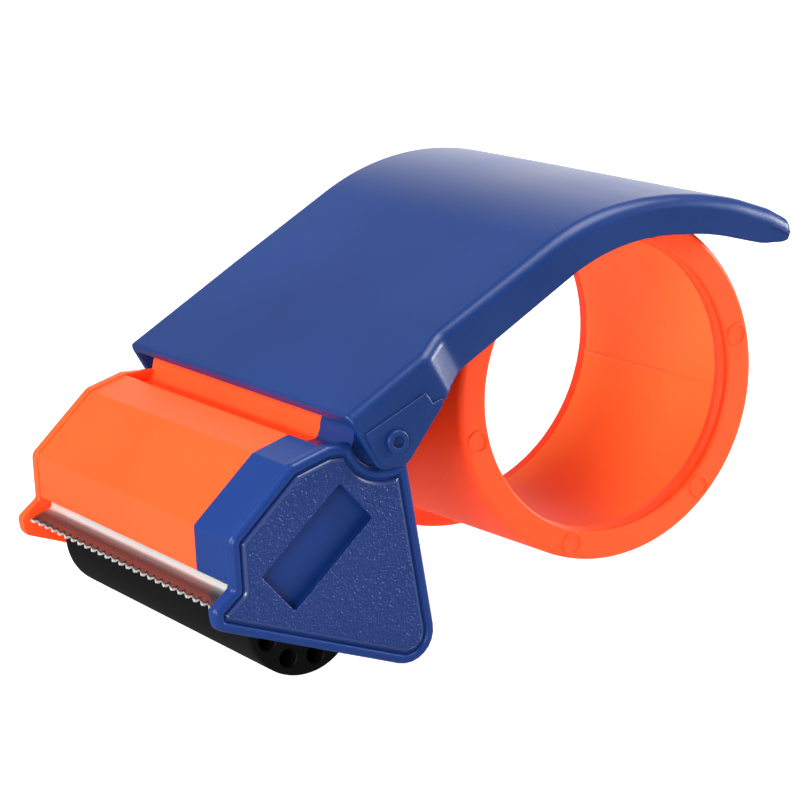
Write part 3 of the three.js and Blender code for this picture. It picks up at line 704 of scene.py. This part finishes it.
RIB_START, RIB_END = (-46 - FRONT_Y) / math.cos(SLOPE), LENGTH - 7
ribs = Solid()
for x in (-38, 36):
    rib_rings = []
    for s in np.linspace(RIB_START, RIB_END, 90):
        end = min(s - RIB_START, RIB_END - s)
        foot = 6.0 - 3.4 * (1 - min(1.0, end / 3)) ** 2
        section = rounded([[x - 0.9, 2.0, 0], [x + 0.9, 2.0, 0],
                           [x + 0.8, foot, 0.35], [x - 0.8, foot, 0.35]], 4)
        rib_rings.append([[a, *handle_point(s, d)] for a, d in section])
    ribs.loft(rib_rings)
ribs.build("handle_ribs", BLUE_GRAIN, "handle")

EAR_PAD = [
    [-70.6, 0.5, 0.4], [-66.9, -6.5, 3.4], [-61.1, -6.5, 3.2], [-52.9, 4.6, 0.8], [-53, 6, 0.3],
    [-55.2, 5.1, 0.3], [-56.8, 7.4, 0.4],
]
pads = Solid()
slab(pads, lambda i: rounded(inset(EAR_PAD, i)), 47.8, 48.55, 0.05, 0.3)
slab(pads, lambda i: rounded(inset(EAR_PAD, i)), -48.55, -47.8, 0.3, 0.05)
pads.build("handle_ear_pads", BLUE_GRAIN, "handle")


def hinge_pin(side, name, node):
    """A pin with a dimpled head, on the side given by +1 or -1."""
    pin = Solid()
    face = 48.85
    profile = soft([[0, 34, 0], [1.6, 34, 0.3], [1.6, face - 0.3, 0.1], [2.4, face - 0.3, 0.1],
                    [2.4, face + 0.75, 0.4], [1.25, face + 0.75, 0.2], [1.05, face - 0.15, 0.15],
                    [0, face - 0.15, 0]], 5)
    turned(pin, [[r, side * x] for r, x in profile], HINGE, 48)
    pin.build(name, BLUE_GRAIN, "frame", [node])


hinge_pin(1, "hinge_pin_near_cap", "hinge_pin_near")
hinge_pin(-1, "hinge_pin_far_cap", "hinge_pin_far")

# ---- rollers, axles and other turned parts ---------------------------------------------------
ROLLER = (-80.9, -35.45)
GUIDE = (-72.0, -17.0)


def turned_piece(name, profile, centre, material, body, node, segments=64):
    piece = Solid()
    turned(piece, soft(profile, 4), centre, segments)
    piece.build(name, material, body, [node])


def tube_profile(outer, inner, x0, x1, r=0.25):
    return [[inner, x0, r], [outer, x0, r], [outer, x1, r], [inner, x1, r]]


ROLLER_HALF = 41.6
HOLES, HOLE_CIRCLE, FIRST_HOLE = 9, 8.9, math.radians(-111.5)


def roller_ring(radius, x):
    return circle(radius, x, ROLLER, 120)


def through(solid, ring_at, levels):
    """Rings at the given [radius, x] levels, open at both ends, with the far and near loops."""
    ids = solid.loft([ring_at(radius, x) for radius, x in levels], cap_start=False, cap_end=False)
    return ids[0], ids[-1]


SLEEVE_END = [(12.3, ROLLER_HALF - 0.6), (12.12, ROLLER_HALF - 0.18), (11.7, ROLLER_HALF)]
sleeve = Solid()
sleeve_loops = [
    through(sleeve, roller_ring,
            [(radius, -x) for radius, x in reversed(SLEEVE_END)]
            + [(12.3, x) for x in np.linspace(-ROLLER_HALF + 3, ROLLER_HALF - 3, 12)]
            + SLEEVE_END),
    through(sleeve, roller_ring, [(5.9, -ROLLER_HALF), (5.9, ROLLER_HALF)]),
]
HOLE_LEVELS = [(2.05, -ROLLER_HALF), (1.85, -ROLLER_HALF + 0.2),
               (1.85, ROLLER_HALF - 0.2), (2.05, ROLLER_HALF)]
for k in range(HOLES):
    t = FIRST_HOLE + 2 * math.pi * k / HOLES
    hole_centre = (ROLLER[0] + HOLE_CIRCLE * math.cos(t), ROLLER[1] + HOLE_CIRCLE * math.sin(t))
    sleeve_loops.append(through(
        sleeve, lambda radius, x: circle(radius, x, hole_centre, 24), HOLE_LEVELS))
far_loops, near_loops = [list(loops) for loops in zip(*sleeve_loops)]
sleeve.fills += [near_loops, far_loops]
sleeve.build("roller_rubber", RUBBER, "press_roller", ["roller_sleeve"])

turned_piece("roller_core_tube", tube_profile(5.6, 4.5, -ROLLER_HALF, ROLLER_HALF), ROLLER, WHITE,
             "press_roller", "roller_core")
for side, name in ((1, "near"), (-1, "far")):
    bush_span = sorted((side * 33.6, side * ROLLER_HALF))
    spacer_span = sorted((side * 41.9, side * 42.7))
    turned_piece(f"bush_{name}", tube_profile(4.2, 2.8, *bush_span), ROLLER, WHITE,
                 "press_roller", f"roller_bush_{name}")
    turned_piece(f"spacer_{name}", tube_profile(4.6, 2.8, *spacer_span), ROLLER, WHITE,
                 "frame", f"roller_spacer_{name}")


def axle_profile(radius, length, ease=0.5):
    return [[0, -length, 0], [radius, -length, ease], [radius, length, ease], [0, length, 0]]


turned_piece("roller_axle_bar", axle_profile(2.5, 44.2), ROLLER, ZINC, "frame",
             "roller_axle")
turned_piece("guide_axle_bar", axle_profile(2.0, 43.4), GUIDE, ZINC, "frame",
             "guide_axle")
turned_piece("guide_roller_tube", tube_profile(4.0, 2.3, -42.2, 42.2), GUIDE, WHITE, "guide",
             "guide_roller")

# ---- blade -----------------------------------------------------------------------------------
BLADE_Y, BLADE_TOP, BLADE_ROOT = -95.7, -18.0, -29.2
BLADE_TIP = np.array([-100.9, -31.4])
BLADE_HALF, THICK = 42.6, 0.7
BEND = 0.7                       # how far the rounded corner reaches along both legs
PITCH, TOOTH, CUT = 3.27, 1.15, 0.12  # a tooth's width, its depth and half the slot beside it
blade_root = np.array([BLADE_Y, BLADE_ROOT])
slope = unit(BLADE_TIP - blade_root)
under = np.array([-slope[1], slope[0]])

# stations along x, and how far the edge reaches there: each tooth rises slowly and drops at once
teeth = int(2 * BLADE_HALF // PITCH) + 1
xs, lengths = [-BLADE_HALF], [0.0]
for k in range(teeth + 1):
    valley = (k - teeth / 2) * PITCH
    for x, reach in ((valley - CUT, 0.0), (valley, -TOOTH), (valley + CUT, -TOOTH),
                     (valley + PITCH * 0.82, 0.0)):
        if abs(x) < BLADE_HALF - 0.05 and x > xs[-1] + 0.02:
            xs.append(x)
            lengths.append(reach)
xs.append(BLADE_HALF)
lengths.append(0.0)

bend_start, bend_end = blade_root + [0, BEND], blade_root + slope * BEND
bend = [np.array([BLADE_Y, BLADE_TOP]), bend_start]
for t in np.linspace(0, 1, 5)[1:-1]:
    bend.append((1 - t) ** 2 * bend_start + 2 * t * (1 - t) * blade_root + t * t * bend_end)
bend.append(bend_end)

sections = []
for x, reach in zip(xs, lengths):
    tip = BLADE_TIP + slope * reach
    line = [*bend, BLADE_TIP - slope * 2.4, tip - slope * 0.5]
    back = []
    for i, p in enumerate(line):
        before = unit(line[i] - line[i - 1]) if i else unit(line[1] - line[0])
        after = unit(line[i + 1] - line[i]) if i + 1 < len(line) else before
        d = unit(before + after)
        back.append(p + np.array([-d[1], d[0]]) * THICK)
    edge = [tip + under * THICK * 0.45, tip + under * THICK * 0.55]
    sections.append([[x, *p] for p in [*line, *edge, *reversed(back)]])
blade = Solid()
blade.loft(sections)
blade.build("blade_strip", STEEL, "frame", ["blade"], angle=25)

for name in ("blade_clamp", "blade_screw_1", "blade_screw_2", "blade_screw_3", "brake_pad"):
    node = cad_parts[name]
    node.data.materials.clear()
    node.data.materials.append(RUBBER if name == "brake_pad" else ZINC)
    bevel(node, 0.00015, 2, 40)

# ---- floor, light and camera -----------------------------------------------------------------
FLOOR_HALF = 12.0                # metres
floor_mesh = bpy.data.meshes.new("floor")
floor_mesh.from_pydata([(x * FLOOR_HALF, y * FLOOR_HALF, 0)
                        for x, y in ((-1, -1), (1, -1), (1, 1), (-1, 1))], [], [(0, 1, 2, 3)])
floor = bpy.data.objects.new("floor", floor_mesh)
bpy.context.scene.collection.objects.link(floor)
floor_look = bpy.data.materials.new("pale_floor")
floor_look.use_nodes = True
floor_shader = floor_look.node_tree.nodes["Principled BSDF"]
floor_shader.inputs["Base Color"].default_value = (0.4, 0.4, 0.4, 1)
floor_shader.inputs["Roughness"].default_value = 0.9
floor_shader.inputs["Emission Color"].default_value = (1, 1, 1, 1)
floor_shader.inputs["Emission Strength"].default_value = 1.0
floor_mesh.materials.append(floor_look)
floor.visible_glossy = False

# white all round, with a brighter patch behind the object that glances off the handle's crest
world = bpy.data.worlds.new("studio")
bpy.context.scene.world = world
world.use_nodes = True
world_nodes, world_links = world.node_tree.nodes, world.node_tree.links
direction = world_nodes.new("ShaderNodeTexCoord")
facing = world_nodes.new("ShaderNodeVectorMath")
facing.operation = "DOT_PRODUCT"
facing.inputs[1].default_value = (-0.825, 0.553, 0.12)
sheet_of_light = world_nodes.new("ShaderNodeMapRange")
sheet_of_light.interpolation_type = "SMOOTHSTEP"
for socket, value in (("From Min", 0.86), ("From Max", 0.99), ("To Min", 0.25), ("To Max", 2.0)):
    sheet_of_light.inputs[socket].default_value = value
world_links.new(direction.outputs["Generated"], facing.inputs[0])
world_links.new(facing.outputs["Value"], sheet_of_light.inputs["Value"])
world_links.new(sheet_of_light.outputs["Result"], world_nodes["Background"].inputs["Strength"])
world_nodes["Background"].inputs["Color"].default_value = (1.0, 1.0, 1.0, 1)


def area_light(name, location, width, height, power):
    """A soft box aimed at the object; sizes in metres and power in watts."""
    data = bpy.data.lights.new(name, "AREA")
    data.shape = "RECTANGLE"
    data.size, data.size_y = width, height
    data.energy = power
    light = bpy.data.objects.new(name, data)
    bpy.context.scene.collection.objects.link(light)
    light.location = location
    light.visible_camera = False
    light.rotation_euler = (MIDDLE - Vector(location)).to_track_quat("-Z", "Y").to_euler()


MIDDLE = Vector((0.0, -0.01, 0.045))
area_light("overhead", (0.15, 0.16, 0.9), 0.55, 0.55, 11)
area_light("front_left", (-0.15, -0.8, 0.4), 0.45, 0.5, 9.5)
area_light("fill", (0.6, -0.78, 0.22), 0.35, 0.35, 7.5)
area_light("rear", (0.3, 0.9, 0.33), 0.3, 0.3, 11)

camera_data = bpy.data.cameras.new("camera")
camera_data.sensor_width = 36.0
camera_data.lens = 129.44
camera_data.clip_start, camera_data.clip_end = 0.05, 50.0
camera = bpy.data.objects.new("camera", camera_data)
bpy.context.scene.collection.objects.link(camera)
azimuth, elevation = math.radians(58.63), math.radians(11.34)
back = Vector((math.sin(azimuth) * math.cos(elevation), -math.cos(azimuth) * math.cos(elevation),
               math.sin(elevation)))
camera.location = Vector(place([514.149, -346.75, 115.97]))
camera.rotation_euler = (-back).to_track_quat("-Z", "Y").to_euler()
bpy.context.scene.camera = camera
bpy.context.scene.view_settings.view_transform = "Standard"
